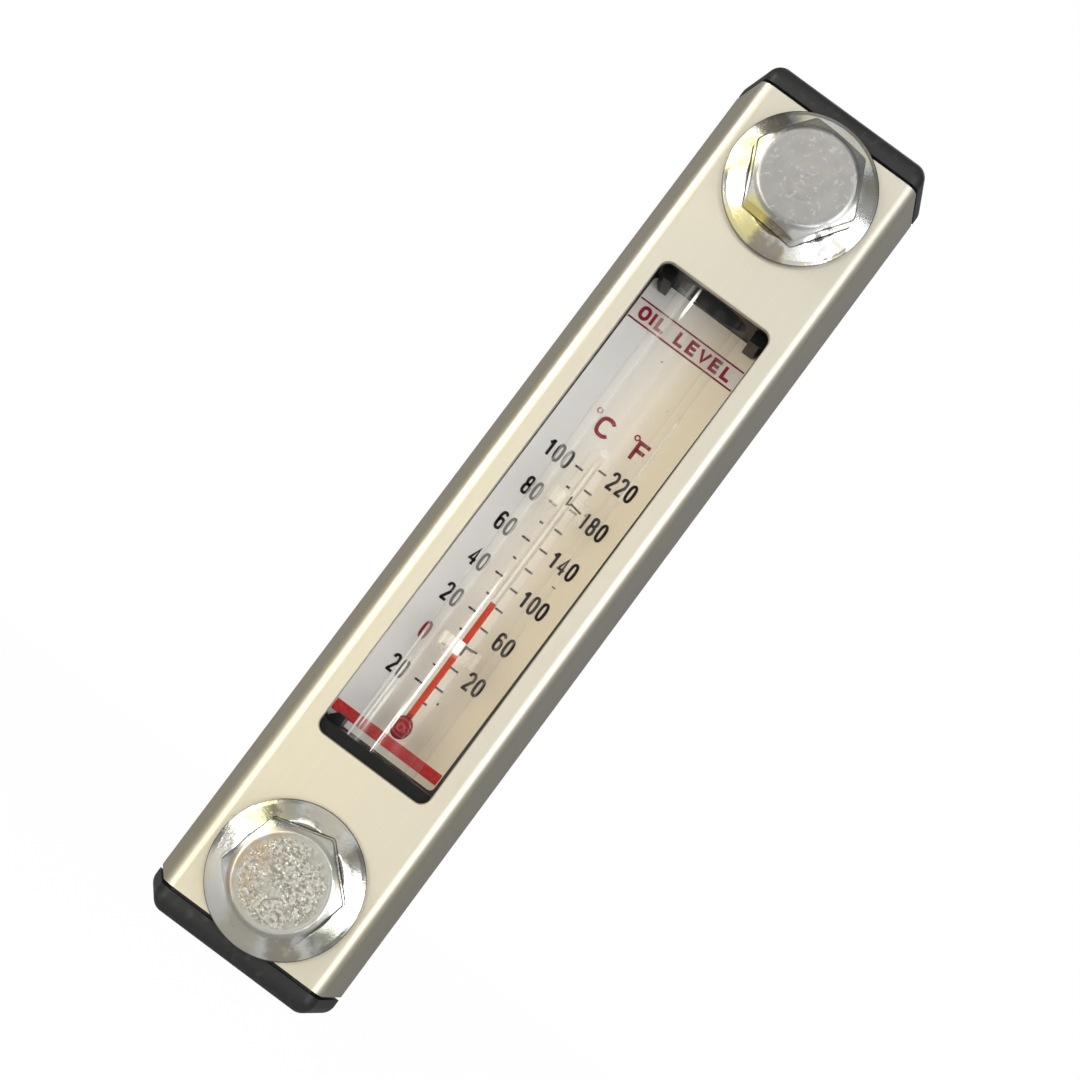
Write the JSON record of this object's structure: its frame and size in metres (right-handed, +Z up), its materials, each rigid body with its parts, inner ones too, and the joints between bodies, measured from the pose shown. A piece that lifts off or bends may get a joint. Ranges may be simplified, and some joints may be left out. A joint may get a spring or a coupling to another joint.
{
  "type": "tank level gauge",
  "caption": "Column level gauge with a thermometer behind a clear sight tube, in a flared metal cover, fixed to a tank wall by hollow bolts.",
  "frame": {"origin": "on the tank wall, midway between the two bolt axes", "axes": "+Z up along the gauge, +Y into the tank, +X to the reader's right"},
  "size_m": [0.0332, 0.0425, 0.1536],
  "materials": {
    "anodised_cover": "satin anodised",
    "black_nylon": "glossy moulded",
    "clear_tube": "clear extruded plastic",
    "plate_metal": "rolled sheet",
    "label_white": "printed vinyl",
    "print_pink": "printed",
    "print_red": "printed",
    "print_black": "printed",
    "stem_glass": "drawn glass",
    "red_spirit": "dyed liquid",
    "clip_plastic": "natural moulded plastic",
    "zinc_steel": "bright zinc plated",
    "seal_rubber": "moulded nitrile rubber"
  },
  "bodies": {
    "root": {"cover": "anodised_cover", "upper_end_block": "black_nylon", "lower_end_block": "black_nylon", "sight_tube": "clear_tube", "upper_tube_seal": "seal_rubber", "lower_tube_seal": "seal_rubber", "back_plate": "plate_metal", "scale_label": "label_white", "heading_band": "print_pink", "red_print": "print_red", "scale_marks": "print_black", "thermometer_glass": "stem_glass", "thermometer_spirit": "red_spirit", "upper_thermometer_clip": "clip_plastic", "lower_thermometer_clip": "clip_plastic", "upper_bolt": "zinc_steel", "lower_bolt": "zinc_steel", "upper_head_seal": "seal_rubber", "lower_head_seal": "seal_rubber", "upper_wall_seal": "seal_rubber", "lower_wall_seal": "seal_rubber"}
  },
  "joints": []
}
